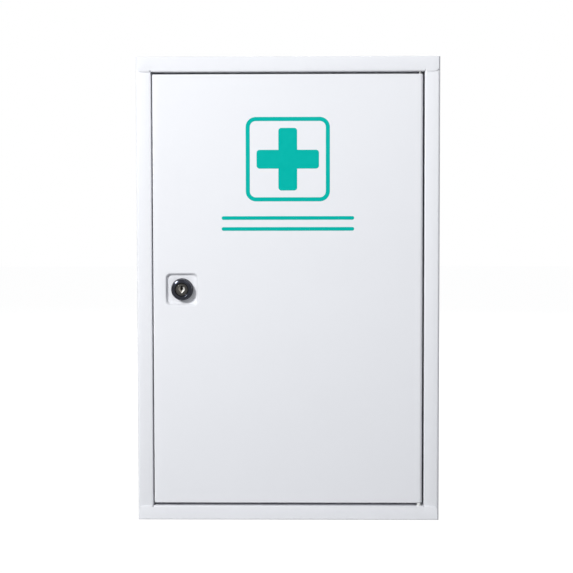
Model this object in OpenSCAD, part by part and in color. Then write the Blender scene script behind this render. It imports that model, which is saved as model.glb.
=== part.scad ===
// Lockable wall cabinet for medicines: a folded sheet-steel carcass with two
// shelves, a flush door on hidden pivot pins, and a cam lock in a pressed recess.
// The underside is at z = 0, the door faces -y and the wall side faces +y.

/* [Carcass] */
// Width of the carcass
body_w = 300; // [240:1:420]
// Height of the carcass
body_h = 460; // [420:1:640]
// Depth from the front rails to the wall
body_d = 140; // [110:1:220]
// Thickness of the carcass sheet
sheet_t = 0.8; // [0.6:0.1:1.2]
// Inside radius of every fold in the carcass and the shelves
fold_r = 0.4; // [0.2:0.1:1]
// Width of the flanges folded in at the back
back_flange = 15; // [10:1:25]
// Width of the flanges of the top and bottom that are welded to the sides
side_flange = 12; // [8:1:20]
// Distance of those flanges from the front and the back
side_flange_end = 22; // [19:1:40]

/* [Front frame] */
// Face width of the two upright stiles
stile_w = 15; // [12:0.5:25]
// Face height of the top rail
rail_h = 15; // [12:0.5:25]
// Face height of the bottom rail
low_rail_h = 14; // [12:0.5:25]
// Depth of the frame from its face to the back of the stop lip
frame_d = 18; // [16:0.5:19]
// Width of the stop lip behind the door
stop_lip = 8; // [6:0.5:12]
// Radius at the ends of each rail, where it laps over a stile
rail_end_r = 4; // [2:0.5:8]
// How far the end of each rail stops short of the side's outer face
rail_end_short = 1; // [0:0.1:2]

/* [Door] */
// Gap between the door and the stile at the lock
lock_side_gap = 1.4; // [1:0.1:3]
// Gap between the door and the stile at the hinges
hinge_side_gap = 1.8; // [1:0.1:3]
// Gap above the door
top_gap = 2.4; // [1.4:0.1:4]
// Gap below the door
low_gap = 3; // [1.4:0.1:4]
// Depth of the door pan
door_d = 15; // [12:0.5:15.5]
// Thickness of the door sheet
door_t = 0.8; // [0.6:0.1:1]
// Inside radius of the folds at the top, bottom and lock side of the door
door_fold_r = 0.4; // [0.2:0.1:0.8]
// Width of the lip folded in round the back of the door
door_lip = 9; // [6:0.5:14]
// Radius of the door's four corners in the front view
door_corner_r = 1.6; // [1:0.1:3]

/* [Hinge] */
// Distance of the pivot axis from the door's edge and from its face
hinge_inset = 3; // [2.8:0.1:4]
// Diameter of the pivot pins
pin_d = 2.8; // [2:0.1:3]
// Inside radius of the bend in a pin
pin_bend = 0.4; // [0.2:0.1:1]
// Length of a pin beyond the door's edge
pin_in_door = 7; // [5:0.5:12]
// Length of the bent leg that is welded to the rail
pin_leg = 14; // [8:1:24]
// Thickness of the hinge plates inside the door
plate_t = 2; // [1.5:0.1:3]
// Length of a hinge plate along the door
plate_l = 24; // [14:1:40]
// Outside diameter of the spacer that carries the door
spacer_d = 4; // [3.8:0.1:5]

/* [Buffers] */
// Diameter of the rubber buffers on the stop lip
buffer_d = 6.4; // [4:0.2:7]
// Distance of the buffers from the top and bottom of the opening
buffer_from_end = 50; // [30:1:90]

/* [Lock] */
// Distance of the lock's axis from the free edge of the door
lock_from_edge = 28.4; // [24:0.1:40]
// Height of the lock's axis above the middle of the door
lock_rise = 0.7; // [-60:0.1:60]
// Width and height of the pressed recess round the lock
recess_w = 31.8; // [28:0.1:40]
// Depth of the pressed recess
recess_d = 3.5; // [2:0.1:5]
// Width of the recess's sloping wall
recess_slope = 1.8; // [1:0.1:3]
// Corner radius of the recess at the door's face
recess_r = 4.5; // [3.5:0.1:7]
// Diameter of the lock's head on its seat
head_d = 22; // [20:0.1:24]
// Diameter of the lock's head at its rim
head_rim_d = 18.4; // [16:0.1:20]
// Height of the head above the recess floor
head_h = 8.5; // [6:0.1:12]
// Height of the cylindrical foot of the head
head_foot_h = 1.8; // [1:0.1:3]
// Diameter of the threaded barrel
barrel_d = 19; // [18:0.1:19.5]
// Distance between the two flats of the barrel
barrel_flats = 16; // [15:0.1:17]
// Diameter of the turning plug
plug_d = 12; // [11:0.1:12.5]
// Diameter of the plug's face
face_d = 13.2; // [12.8:0.1:14]
// Depth of the plug's face below the rim
face_drop = 1.2; // [0.5:0.1:2]
// Thickness of the plug's face disc
face_t = 1.5; // [1.2:0.1:2]
// Width of the key slot
key_w = 1.8; // [1.4:0.1:2.2]
// Height of the key slot
key_h = 8.4; // [7:0.1:8.6]
// Depth of the key slot
key_l = 17; // [14:0.5:17.5]
// Diameter of the bright disc round the key slot
shutter_d = 9.6; // [9:0.1:10.4]
// Thickness of the bright disc
shutter_t = 0.6; // [0.4:0.1:0.8]
// Number of wafers in the plug
wafer_count = 5; // [3:1:5]
// Thickness of one wafer
wafer_t = 0.8; // [0.5:0.1:1]
// Pitch of the wafers
wafer_pitch = 1.8; // [1.4:0.1:2]
// Width of a wafer
wafer_w = 6.4; // [5:0.1:7]
// Distance from the back of the face disc to the first wafer
wafer_lead = 1.6; // [1:0.1:3]
// Width across flats of the mounting nut
nut_af = 24; // [22:0.5:25]
// Thickness of the mounting nut
nut_t = 4; // [3:0.1:5]
// Thickness of the washer under the nut
lock_washer_t = 0.8; // [0.5:0.1:1.2]

/* [Cam] */
// Length of the cam from the lock's axis to its tip
cam_l = 40; // [36:0.5:42]
// Width of the cam's tongue
cam_w = 13; // [10:0.5:16]
// Diameter of the cam's hub
cam_hub_d = 17; // [16:0.5:20]
// Thickness of the cam
cam_t = 2; // [1.5:0.1:3]
// Distance between the cam and the back of the stop lip
cam_clear = 1.2; // [0.8:0.1:3]
// Width of the square tail that carries the cam
tail_w = 7.5; // [6:0.1:8]
// Diameter of the cam screw
screw_d = 4; // [3:0.1:4.5]
// Length of the cam screw under its head
screw_l = 8; // [6:0.5:8.5]
// Diameter of the screw's head
screw_head_d = 8; // [7:0.1:9]
// Height of the screw's head
screw_head_h = 2.6; // [2:0.1:3.5]
// Width and depth of the cross slot in the screw's head
screw_slot = 1.2; // [0.8:0.1:1.6]
// Diameter of the washer under the screw's head
cam_washer_d = 11; // [10:0.1:14]
// Thickness of the washer under the screw's head
cam_washer_t = 0.8; // [0.5:0.1:1.2]

/* [Shelves] */
// Thickness of the shelf sheet
shelf_t = 0.8; // [0.6:0.1:1.2]
// Height of the bottom compartment, from the floor to the lower shelf
lower_tier_h = 152; // [90:1:170]
// Height of the middle compartment, from shelf to shelf
middle_tier_h = 152; // [90:1:170]
// Distance from the back of the lock to the front of the shelves
shelf_setback = 4; // [2:0.5:20]
// Height of the lip along the front of a shelf
shelf_lip = 14; // [8:1:24]
// Width of the fold along the top of that lip
shelf_hem = 5; // [3:0.5:8]
// Height of the lip along the back of a shelf
shelf_back_lip = 9; // [5:1:16]
// Gap between a shelf and the cabinet's sides and back
shelf_clear = 1; // [0.6:0.1:2]
// Thickness of the angles that carry the shelves
runner_t = 1; // [0.8:0.1:1.5]
// Width of both legs of those angles
runner_w = 11; // [8:0.5:16]
// Distance of those angles from the front and back of a shelf
runner_from_end = 4; // [2:0.5:12]

/* [Wall fixings] */
// Distance between the fixing holes across the back
fixing_x = 200; // [140:1:210]
// Distance between the fixing holes up the back
fixing_z = 360; // [240:1:370]
// Diameter of the fixing holes
fixing_d = 7; // [5:0.1:9]

/* [Print on the door] */
// Width and height of the rounded frame
frame_print_w = 83; // [70:0.5:120]
// Outside corner radius of the rounded frame
frame_print_r = 10; // [6:0.5:16]
// Line width of the rounded frame
frame_print_line = 4; // [2:0.1:5]
// Distance from the top of the door to the middle of the frame
frame_print_drop = 83.5; // [70:0.5:130]
// Length of the cross from end to end
cross_l = 61.6; // [40:0.1:61.8]
// Width of the arms of the cross
cross_w = 18.5; // [12:0.1:24]
// Radius of the corners of the cross
cross_r = 3; // [1:0.1:5]
// Length of the two stripes under the frame
stripe_l = 131; // [80:1:150]
// Height of each stripe
stripe_h = 3.6; // [2:0.1:5]
// Distance from the middle of the frame to the middle of the stripes
stripe_drop = 63.3; // [60:0.1:80]
// Distance between the middles of the two stripes
stripe_pitch = 10.8; // [6:0.1:16]
// Thickness of the print
print_t = 0.1; // [0.05:0.05:0.2]

/* [Hidden] */
$fn = 64;
// Fitting gaps: between welded sheets, round a running pin, and round a loose fit
weld_gap = 0.2;
running_gap = 0.05;
loose_gap = 0.2;
// How far a cutting shape runs past the face that it cuts
over = 1;
// Thickness of the two thin plates that a sloping wall is spanned between
span_t = 0.01;
span_fn = 32;

open_x = body_w / 2 - stile_w;
open_bottom = low_rail_h;
open_top = body_h - rail_h;
side_in_x = body_w / 2 - sheet_t;
side_d = body_d - 2 * sheet_t;
side_z = sheet_t + fold_r;
back_in_y = body_d - 3 * sheet_t;
lip_front_y = frame_d - sheet_t;

door_left = lock_side_gap - open_x;
door_right = open_x - hinge_side_gap;
door_bottom = open_bottom + low_gap;
door_top = open_top - top_gap;
door_mid = (door_bottom + door_top) / 2;
hinge_fold_r = hinge_inset - door_t;
axis_x = door_right - hinge_inset;
axis_y = hinge_inset;
pin_hole_r = pin_d / 2 + running_gap;
pin_bend_r = pin_d / 2 + pin_bend;
buffer_t = lip_front_y - door_d - loose_gap;
buffer_x = open_x - stop_lip / 2 + sheet_t / 2;

lock_x = door_left + lock_from_edge;
lock_z = door_mid + lock_rise;
seat_y = recess_d;
seat_back = recess_d + door_t;
rim_y = seat_y - head_h;
face_y = rim_y + face_drop;
wafer_y = face_y + face_t + wafer_lead;
cam_y = frame_d + cam_clear;
cam_back = cam_y + cam_t;
barrel_end = cam_y - loose_gap;
washer_back = cam_back + cam_washer_t;
screw_top = washer_back + screw_head_h;

shelf_y = screw_top + shelf_setback;
shelf_back = back_in_y - shelf_clear;
shelf_x = side_in_x - shelf_clear;
lower_shelf_z = sheet_t + lower_tier_h;
upper_shelf_z = lower_shelf_z + middle_tier_h;

frame_print_z = door_top - frame_print_drop;
stripe_z = frame_print_z - stripe_drop;

steel_white = [0.94, 0.945, 0.955];
zinc = [0.72, 0.73, 0.74];
gunmetal = [0.13, 0.13, 0.15];
bright = [0.8, 0.8, 0.8];
brass = [0.78, 0.62, 0.3];
rubber = [0.85, 0.86, 0.87];
nylon = [0.9, 0.9, 0.88];
teal = [0.0, 0.71, 0.67];

// Shapes are drawn with the front rails at y = 0, and this puts the middle of the
// carcass on the z axis.
module placed() {
    translate([0, -body_d / 2, 0]) children();
}

// Turns a shape for the bottom of the cabinet into the same shape for the top
module upside_down() {
    translate([0, 0, body_h]) mirror([0, 0, 1]) children();
}

// Straight length of run i of a folded strip, whose lengths are over the folds' outsides
function flat_run(lengths, i, t, r) =
    lengths[i] - (t + r) * ((i > 0 ? 1 : 0) + (i < len(lengths) - 1 ? 1 : 0));

// Section of a folded sheet. It starts from the origin along +x with its thickness to
// the left, and turns[i] after run i is 1 for a fold to the left and -1 to the right.
module folded(lengths, turns, t, r, i = 0) {
    run = flat_run(lengths, i, t, r);
    square([run, t]);
    if (i < len(turns)) {
        left = turns[i] > 0;
        centre_y = left ? t + r : -r;
        translate([run, centre_y]) intersection() {
            difference() {
                circle(r + t);
                circle(r);
            }
            translate([0, left ? -r - t : 0]) square(r + t);
        }
        translate([run + r + (left ? t : 0), centre_y]) rotate(turns[i] * 90)
            folded(lengths, turns, t, r, i + 1);
    }
}

// Runs a section of the YZ plane from x0 to x1
module along_x(x0, x1) {
    translate([x0, 0, 0]) rotate([90, 0, 90]) linear_extrude(x1 - x0) children();
}

// Runs a figure seen from the front from y0 back to y1
module along_y(y0, y1) {
    translate([0, y1, 0]) rotate([90, 0, 0]) linear_extrude(y1 - y0) children();
}

// Runs a section of the XY plane from z0 up to z1
module along_z(z0, z1) {
    translate([0, 0, z0]) linear_extrude(z1 - z0) children();
}

module rounded_rect(w, h, r) {
    square([w - 2 * r, h], center = true);
    square([w, h - 2 * r], center = true);
    for (x = [-1, 1], z = [-1, 1])
        translate([x * (w / 2 - r), z * (h / 2 - r)]) circle(r);
}

// What comes off an end of the top rail: a strip that leaves the side's fold in sight,
// and the lower corner, which is left round
module rail_end_waste(side, mouth_z) {
    rail_end_x = body_w / 2 - rail_end_short;
    translate([side > 0 ? rail_end_x : -body_w / 2 - over, -over, mouth_z - over])
        cube([rail_end_short + over, over + sheet_t + fold_r, body_h - mouth_z + 2 * over]);
    translate([side * rail_end_x, 0, mouth_z]) along_y(-over, sheet_t) difference() {
        translate([side > 0 ? -rail_end_r : -over, -over]) square(rail_end_r + over);
        translate([-side * rail_end_r, rail_end_r]) circle(rail_end_r);
    }
}

// Top plate with its front rail, the rail's return and stop lip, a back flange and
// flanges for the sides. The rail laps over the stiles, and its return fits between them.
module cap_panel(rail) {
    mouth_z = body_h - rail;
    rail_x = open_x - weld_gap;
    flange_x = side_in_x - weld_gap;
    lip_end_x = -open_x - sheet_t + stop_lip + weld_gap;
    difference() {
        union() {
            along_x(-rail_x, rail_x)
                translate([frame_d, mouth_z + sheet_t - stop_lip]) rotate(90)
                    folded([stop_lip, frame_d, rail, body_d, back_flange],
                           [1, -1, -1, -1], sheet_t, fold_r);
            for (x0 = [-body_w / 2, rail_x])
                along_x(x0, x0 + body_w / 2 - rail_x)
                    translate([sheet_t, mouth_z]) rotate(90)
                        folded([rail, body_d, back_flange], [-1, -1], sheet_t, fold_r);
            for (x0 = [-flange_x, flange_x - sheet_t])
                translate([x0, side_flange_end, body_h - side_flange])
                    cube([sheet_t, body_d - 2 * side_flange_end, side_flange - sheet_t / 2]);
        }
        // Room for the lip of the stile on the lock side
        translate([-open_x - over, lip_front_y - fold_r, mouth_z - stop_lip])
            cube([lip_end_x + open_x + over, sheet_t + fold_r + over, stop_lip + sheet_t]);
        for (side = [-1, 1])
            rail_end_waste(side, mouth_z);
        translate([axis_x, axis_y, mouth_z - over])
            cylinder(r = pin_hole_r, h = sheet_t + 2 * over);
    }
}

module top_panel() {
    color(steel_white) placed() cap_panel(rail_h);
}

module bottom_panel() {
    color(steel_white) placed() upside_down() cap_panel(low_rail_h);
}

// Left side sheet with its stile, the stile's return and a back flange. The lip behind
// the door is for the lock side only: on the hinge side the door needs the room to turn.
module side_sheet(with_lip) {
    lengths = [frame_d - sheet_t, stile_w, side_d, back_flange];
    along_z(side_z, body_h - side_z)
        if (with_lip)
            translate([-open_x - sheet_t + stop_lip, frame_d]) rotate(180)
                folded(concat([stop_lip], lengths), [1, -1, -1, -1], sheet_t, fold_r);
        else
            translate([-open_x - sheet_t, frame_d]) rotate(-90)
                folded(lengths, [-1, -1, -1], sheet_t, fold_r);
}

module side_panel_left() {
    color(steel_white) placed() side_sheet(true);
}

module side_panel_right() {
    color(steel_white) placed() mirror([1, 0, 0]) side_sheet(false);
}

// Back sheet with four fixing holes, held between the sides' back flanges and the shelves
module back_panel() {
    half_w = side_in_x - fold_r - weld_gap;
    low_z = sheet_t + weld_gap;
    color(steel_white) placed() difference() {
        translate([-half_w, back_in_y, low_z])
            cube([2 * half_w, sheet_t, body_h - 2 * low_z]);
        for (x = [-1, 1], z = [-1, 1])
            translate([x * fixing_x / 2, back_in_y - over, body_h / 2 + z * fixing_z / 2])
                rotate([-90, 0, 0]) cylinder(d = fixing_d, h = sheet_t + 2 * over);
    }
}

// Angle welded to a side sheet, with its flat leg under a shelf
module shelf_runner(side, shelf_z) {
    color(steel_white) placed()
        along_y(shelf_y + runner_from_end, shelf_back - runner_from_end)
            mirror([side < 0 ? 1 : 0, 0])
                translate([side_in_x - runner_w, shelf_z - runner_t])
                    folded([runner_w, runner_w], [-1], runner_t, fold_r);
}

// Tray with a hemmed lip at the front and a plain lip at the back
module shelf(shelf_z) {
    color(steel_white) placed() along_x(-shelf_x, shelf_x)
        translate([shelf_y + shelf_hem, shelf_z + shelf_lip]) rotate(180)
            folded([shelf_hem, shelf_lip, shelf_back - shelf_y, shelf_back_lip],
                   [1, 1, 1], shelf_t, fold_r);
}

module door_buffers() {
    color(rubber) placed()
        for (z = [open_bottom + buffer_from_end, open_top - buffer_from_end])
            translate([-buffer_x, lip_front_y - buffer_t, z])
                rotate([-90, 0, 0]) cylinder(d = buffer_d, h = buffer_t);
}

// Pin that stands up through the bottom rail's return into the door. Its other end is
// bent over and welded along the underside of that return.
module hinge_pin(rail, gap) {
    leg_z = rail - sheet_t - pin_d / 2;
    straight_z = leg_z + pin_bend_r;
    color(zinc) placed() translate([axis_x, axis_y, 0]) {
        translate([0, 0, straight_z])
            cylinder(d = pin_d, h = rail + gap + pin_in_door - straight_z);
        translate([-pin_bend_r, 0, straight_z]) rotate([90, 0, 0])
            rotate_extrude(angle = -90) translate([pin_bend_r, 0]) circle(d = pin_d);
        translate([-pin_bend_r, 0, leg_z]) rotate([0, -90, 0])
            cylinder(d = pin_d, h = pin_leg);
    }
}

module hinge_pin_lower() {
    hinge_pin(low_rail_h, low_gap);
}

module hinge_pin_upper() {
    upside_down() hinge_pin(rail_h, top_gap);
}

// Short tube on the lower pin, which carries the door's weight
module hinge_spacer() {
    color(nylon) placed() translate([axis_x, axis_y, open_bottom]) difference() {
        cylinder(d = spacer_d, h = low_gap);
        translate([0, 0, -over]) cylinder(r = pin_hole_r, h = low_gap + 2 * over);
    }
}

// The door's outline as a solid, smaller all round by inset. The fold on the hinge side
// is larger than the others, and its centre is the pivot axis.
module door_solid(inset) {
    x0 = door_left + inset;
    x1 = door_right - inset;
    y0 = inset;
    y1 = door_d - inset;
    z0 = door_bottom + inset;
    z1 = door_top - inset;
    edge_r = door_fold_r + door_t - inset;
    hinge_r = hinge_fold_r + door_t - inset;
    intersection() {
        along_z(z0, z1) {
            translate([x0 + edge_r, y0]) square([x1 - x0 - edge_r - hinge_r, edge_r]);
            translate([x0, y0 + edge_r]) square([x1 - x0 - hinge_r, y1 - y0 - edge_r]);
            translate([x1 - hinge_r, y0 + hinge_r]) square([hinge_r, y1 - y0 - hinge_r]);
            translate([x0 + edge_r, y0 + edge_r]) circle(edge_r);
            translate([x1 - hinge_r, y0 + hinge_r]) circle(hinge_r);
        }
        along_x(x0, x1) {
            translate([y0 + edge_r, z0]) square([y1 - y0 - edge_r, z1 - z0]);
            translate([y0, z0 + edge_r]) square([edge_r, z1 - z0 - 2 * edge_r]);
            for (z = [z0 + edge_r, z1 - edge_r])
                translate([y0 + edge_r, z]) circle(edge_r);
        }
        along_y(y0, y1) translate([(x0 + x1) / 2, door_mid])
            rounded_rect(x1 - x0, z1 - z0, door_corner_r - inset);
    }
}

// Space in the pressed recess from front to back, or its outside if grow is the sheet
module recess_solid(grow, front, back) {
    mouth_w = recess_w + 2 * grow;
    floor_w = mouth_w - 2 * recess_slope;
    hull() {
        along_y(front, front + span_t) translate([lock_x, lock_z])
            rounded_rect(mouth_w, mouth_w, recess_r + grow, $fn = span_fn);
        along_y(back - span_t, back) translate([lock_x, lock_z])
            rounded_rect(floor_w, floor_w, recess_r + grow - recess_slope, $fn = span_fn);
    }
}

// Section of the barrel: round, with two flats that stop it from turning
module barrel_section(gap) {
    intersection() {
        circle(d = barrel_d + 2 * gap);
        square([barrel_flats + 2 * gap, barrel_d + 2 * gap + over], center = true);
    }
}

// Pan with four folded walls, a lip round its open back, and the pressed lock recess
module door_panel() {
    mouth_w = door_right - door_left - 2 * door_lip;
    mouth_h = door_top - door_bottom - 2 * door_lip;
    color(steel_white) placed() difference() {
        union() {
            difference() {
                door_solid(0);
                door_solid(door_t);
                translate([door_left + door_lip, door_d - door_t - over, door_bottom + door_lip])
                    cube([mouth_w, door_t + 2 * over, mouth_h]);
            }
            recess_solid(door_t, door_t / 2, seat_back);
        }
        recess_solid(0, -span_t, seat_y);
        along_y(seat_y - over, seat_back + over) translate([lock_x, lock_z])
            barrel_section(running_gap);
        for (z = [door_bottom - over, door_top - door_t - over])
            translate([axis_x, axis_y, z]) cylinder(r = pin_hole_r, h = door_t + 2 * over);
    }
}

// Plate welded on the door's top or bottom wall, with the hole that the pin turns in
module hinge_plate(z) {
    front = door_t + door_fold_r + weld_gap;
    back = door_d - door_t - weld_gap;
    right = door_right - door_t - weld_gap;
    left = right - plate_l;
    color(zinc) placed() translate([0, 0, z]) difference() {
        along_z(0, plate_t) {
            translate([axis_x, axis_y]) circle(hinge_fold_r - weld_gap);
            translate([left, front]) square([axis_x - left, back - front]);
            translate([axis_x - over, axis_y]) square([right - axis_x + over, back - axis_y]);
        }
        translate([axis_x, axis_y, -over]) cylinder(r = pin_hole_r, h = plate_t + 2 * over);
    }
}

module hinge_plate_lower() {
    hinge_plate(door_bottom + door_t);
}

module hinge_plate_upper() {
    hinge_plate(door_top - door_t - plate_t);
}

module print_frame() {
    inner_w = frame_print_w - 2 * frame_print_line;
    color(teal) placed() along_y(-print_t, 0) translate([0, frame_print_z]) difference() {
        rounded_rect(frame_print_w, frame_print_w, frame_print_r);
        rounded_rect(inner_w, inner_w, frame_print_r - frame_print_line);
    }
}

module print_cross() {
    color(teal) placed() along_y(-print_t, 0) translate([0, frame_print_z]) {
        rounded_rect(cross_l, cross_w, cross_r);
        rounded_rect(cross_w, cross_l, cross_r);
    }
}

// Two plain stripes with round ends
module print_stripes() {
    color(teal) placed() along_y(-print_t, 0) for (side = [-1, 1])
        translate([0, stripe_z + side * stripe_pitch / 2]) {
            square([stripe_l - stripe_h, stripe_h], center = true);
            for (end = [-1, 1])
                translate([end * (stripe_l - stripe_h) / 2, 0]) circle(d = stripe_h);
        }
}

// Puts a shape drawn about the z axis on the lock's axis, with its z = 0 at depth y
module on_lock_axis(y) {
    translate([lock_x, y, lock_z]) rotate([-90, 0, 0]) children();
}

// Runs a figure drawn about the lock's axis from y0 back to y1
module lock_run(y0, y1) {
    along_y(y0, y1) translate([lock_x, lock_z]) children();
}

// Conical head on the recess floor and a barrel with two flats behind it
module lock_housing() {
    bore_l = barrel_end - rim_y + 2 * over;
    color(gunmetal) placed() difference() {
        union() {
            on_lock_axis(rim_y)
                cylinder(d1 = head_rim_d, d2 = head_d, h = head_h - head_foot_h);
            on_lock_axis(seat_y - head_foot_h) cylinder(d = head_d, h = head_foot_h);
            lock_run(seat_y, barrel_end) barrel_section(0);
        }
        on_lock_axis(rim_y - over) cylinder(r = plug_d / 2 + running_gap, h = bore_l);
        on_lock_axis(rim_y - over)
            cylinder(r = face_d / 2 + running_gap, h = face_drop + face_t + over);
    }
}

module lock_washer() {
    color(zinc) placed() difference() {
        on_lock_axis(seat_back) cylinder(d = nut_af, h = lock_washer_t);
        lock_run(seat_back - over, seat_back + lock_washer_t + over) barrel_section(loose_gap);
    }
}

module lock_nut() {
    color(zinc) placed() on_lock_axis(seat_back + lock_washer_t) difference() {
        cylinder(d = nut_af / cos(30), h = nut_t, $fn = 6);
        translate([0, 0, -over]) cylinder(d = barrel_d + 2 * loose_gap, h = nut_t + 2 * over);
    }
}

module lock_plug() {
    wafer_slot_w = wafer_w + 2 * running_gap;
    screw_hole_y = washer_back - screw_l;
    color(gunmetal) placed() difference() {
        union() {
            on_lock_axis(face_y) cylinder(d = face_d, h = face_t);
            on_lock_axis(face_y) cylinder(d = plug_d, h = cam_y - face_y);
            lock_run(cam_y - over, cam_back - loose_gap) square(tail_w, center = true);
        }
        on_lock_axis(face_y - over) cylinder(r = shutter_d / 2 + running_gap, h = shutter_t + over);
        lock_run(face_y - over, face_y + key_l) square([key_w, key_h], center = true);
        for (i = [0 : wafer_count - 1])
            lock_run(wafer_y + i * wafer_pitch - running_gap,
                     wafer_y + i * wafer_pitch + wafer_t + running_gap)
                square([wafer_slot_w, plug_d + over], center = true);
        on_lock_axis(screw_hole_y) cylinder(r = screw_d / 2 + running_gap, h = screw_l);
    }
}

// Bright disc in the plug's face, with the mouth of the key slot in it
module lock_shutter() {
    color(bright) placed() difference() {
        on_lock_axis(face_y) cylinder(d = shutter_d, h = shutter_t);
        lock_run(face_y - over, face_y + shutter_t + over) square([key_w, key_h], center = true);
    }
}

// Flat wafers across the plug, drawn in line with it as they are with the key in
module lock_wafers() {
    wafer_h = 2 * sqrt(pow(plug_d / 2, 2) - pow(wafer_w / 2, 2)) - loose_gap;
    color(brass) placed() for (i = [0 : wafer_count - 1])
        lock_run(wafer_y + i * wafer_pitch, wafer_y + i * wafer_pitch + wafer_t) difference() {
            square([wafer_w, wafer_h], center = true);
            square([key_w + loose_gap, key_h + loose_gap], center = true);
        }
}

// Flat tongue with a square hole. It hangs down when the lock is open, and turned a
// quarter it reaches behind the stop lip of the stile.
module lock_cam() {
    color(zinc) placed() lock_run(cam_y, cam_back) difference() {
        union() {
            circle(d = cam_hub_d);
            translate([-cam_w / 2, cam_w / 2 - cam_l]) square([cam_w, cam_l - cam_w / 2]);
            translate([0, cam_w / 2 - cam_l]) circle(d = cam_w);
        }
        square(tail_w + 2 * running_gap, center = true);
    }
}

module cam_washer() {
    color(zinc) placed() on_lock_axis(cam_back) difference() {
        cylinder(d = cam_washer_d, h = cam_washer_t);
        translate([0, 0, -over]) cylinder(r = screw_d / 2 + loose_gap, h = cam_washer_t + 2 * over);
    }
}

module cam_screw() {
    color(zinc) placed() difference() {
        union() {
            on_lock_axis(washer_back + loose_gap - screw_l) cylinder(d = screw_d, h = screw_l);
            on_lock_axis(washer_back) cylinder(d = screw_head_d, h = screw_head_h);
        }
        lock_run(screw_top - screw_slot, screw_top + over) {
            square([screw_head_d * 2 / 3, screw_slot], center = true);
            square([screw_slot, screw_head_d * 2 / 3], center = true);
        }
    }
}

top_panel();
bottom_panel();
side_panel_left();
side_panel_right();
back_panel();
shelf_runner(-1, lower_shelf_z);  // shelf_runner_lower_left
shelf_runner(1, lower_shelf_z);  // shelf_runner_lower_right
shelf_runner(-1, upper_shelf_z);  // shelf_runner_upper_left
shelf_runner(1, upper_shelf_z);  // shelf_runner_upper_right
shelf(lower_shelf_z);  // shelf_lower
shelf(upper_shelf_z);  // shelf_upper
door_buffers();
hinge_pin_lower();
hinge_pin_upper();
hinge_spacer();
door_panel();
hinge_plate_lower();
hinge_plate_upper();
print_frame();
print_cross();
print_stripes();
lock_housing();
lock_washer();
lock_nut();
lock_plug();
lock_shutter();
lock_wafers();
lock_cam();
cam_washer();
cam_screw();
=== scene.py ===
import math

import bmesh
import bpy
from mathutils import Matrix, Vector


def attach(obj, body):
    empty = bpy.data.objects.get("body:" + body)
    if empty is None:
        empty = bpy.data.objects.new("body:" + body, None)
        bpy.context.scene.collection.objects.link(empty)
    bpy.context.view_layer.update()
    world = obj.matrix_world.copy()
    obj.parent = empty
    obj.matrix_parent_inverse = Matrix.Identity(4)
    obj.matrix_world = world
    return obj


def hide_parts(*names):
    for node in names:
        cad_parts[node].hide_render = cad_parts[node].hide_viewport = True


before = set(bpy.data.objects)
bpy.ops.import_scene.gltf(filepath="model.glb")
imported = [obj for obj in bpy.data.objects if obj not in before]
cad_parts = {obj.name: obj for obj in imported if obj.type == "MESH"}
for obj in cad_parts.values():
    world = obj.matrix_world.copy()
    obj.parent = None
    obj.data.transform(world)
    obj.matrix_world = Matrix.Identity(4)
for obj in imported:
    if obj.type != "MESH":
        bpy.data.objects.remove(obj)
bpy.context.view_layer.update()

MM = 0.001
SAME = 0.01 * MM  # nearer than this, a point is at a place
MERGE = 0.002 * MM  # nearer than this, two points are made one
FACING_DOOR = (math.pi / 2, 0, 0)  # the turn of a flat or a disc that faces the front

# The sheet metal. The sides' outer fold is softer than the solids have it.
SHEET = 0.8 * MM
FOLD = 1.2 * MM
OUTER_FOLD = 2.6 * MM
INNER_FOLD = 0.4 * MM
DEBURR = 0.16 * MM

# The carcass
HALF_W = 150 * MM
TOP = 460 * MM
FRONT = -70 * MM
WALL = 70 * MM
OPEN_X = 135 * MM
RAIL = 15 * MM
LOW_RAIL = 14 * MM
RAIL_END = 149 * MM
RAIL_END_R = 4 * MM
FRAME_D = 18 * MM
STOP_LIP = 8 * MM
BACK_FLANGE = 15 * MM
FIXING_X = 100 * MM
FIXING_Z = (50 * MM, 410 * MM)
FIXING_R = 3.5 * MM

# The shelves
SHELF_FRONT = FRONT + 28.6 * MM
SHELF_BACK = WALL - 3.4 * MM
SHELF_X = 148.2 * MM
LOWER_SHELF = 152.8 * MM
UPPER_SHELF = 304.8 * MM
TRAY_LIP = 14 * MM
TRAY_HEM = 5 * MM
TRAY_BACK = 9 * MM

# The door and its pivots
DOOR_LEFT = -133.6 * MM
DOOR_RIGHT = 133.2 * MM
DOOR_LOW = 17 * MM
DOOR_HIGH = 442.6 * MM
DOOR_D = 15 * MM
DOOR_LIP = 9 * MM
DOOR_HINGE_FOLD = 3 * MM
DOOR_END_FOLD = 1.1 * MM
DOOR_BACK_FOLD = 0.9 * MM
PIVOT_X = 130.2 * MM
PIVOT_Y = FRONT + 3 * MM
PIN_R = 1.4 * MM

# The lock and its recess
LOCK_X = -105.2 * MM
LOCK_Z = 230.5 * MM
RECESS_W = 31.8 * MM
RECESS_FLOOR = 28.2 * MM
RECESS_D = 3.5 * MM
RECESS_R = 4.5 * MM
BARREL_HOLE_R = 9.55 * MM
FUNNEL_D = 0.9 * MM


# Selecting and shaping, as at the bench

def at(x=None, y=None, z=None):
    """A test that every point of a part lies at a place, given as numbers or ranges."""
    def within(value, wanted):
        if wanted is None:
            return True
        low, high = wanted if isinstance(wanted, tuple) else (wanted, wanted)
        return low - SAME < value < high + SAME

    def test(part):
        points = part.verts if hasattr(part, "verts") else [part]
        return all(
            within(p.co.x, x) and within(p.co.y, y) and within(p.co.z, z) for p in points
        )

    return test


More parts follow.
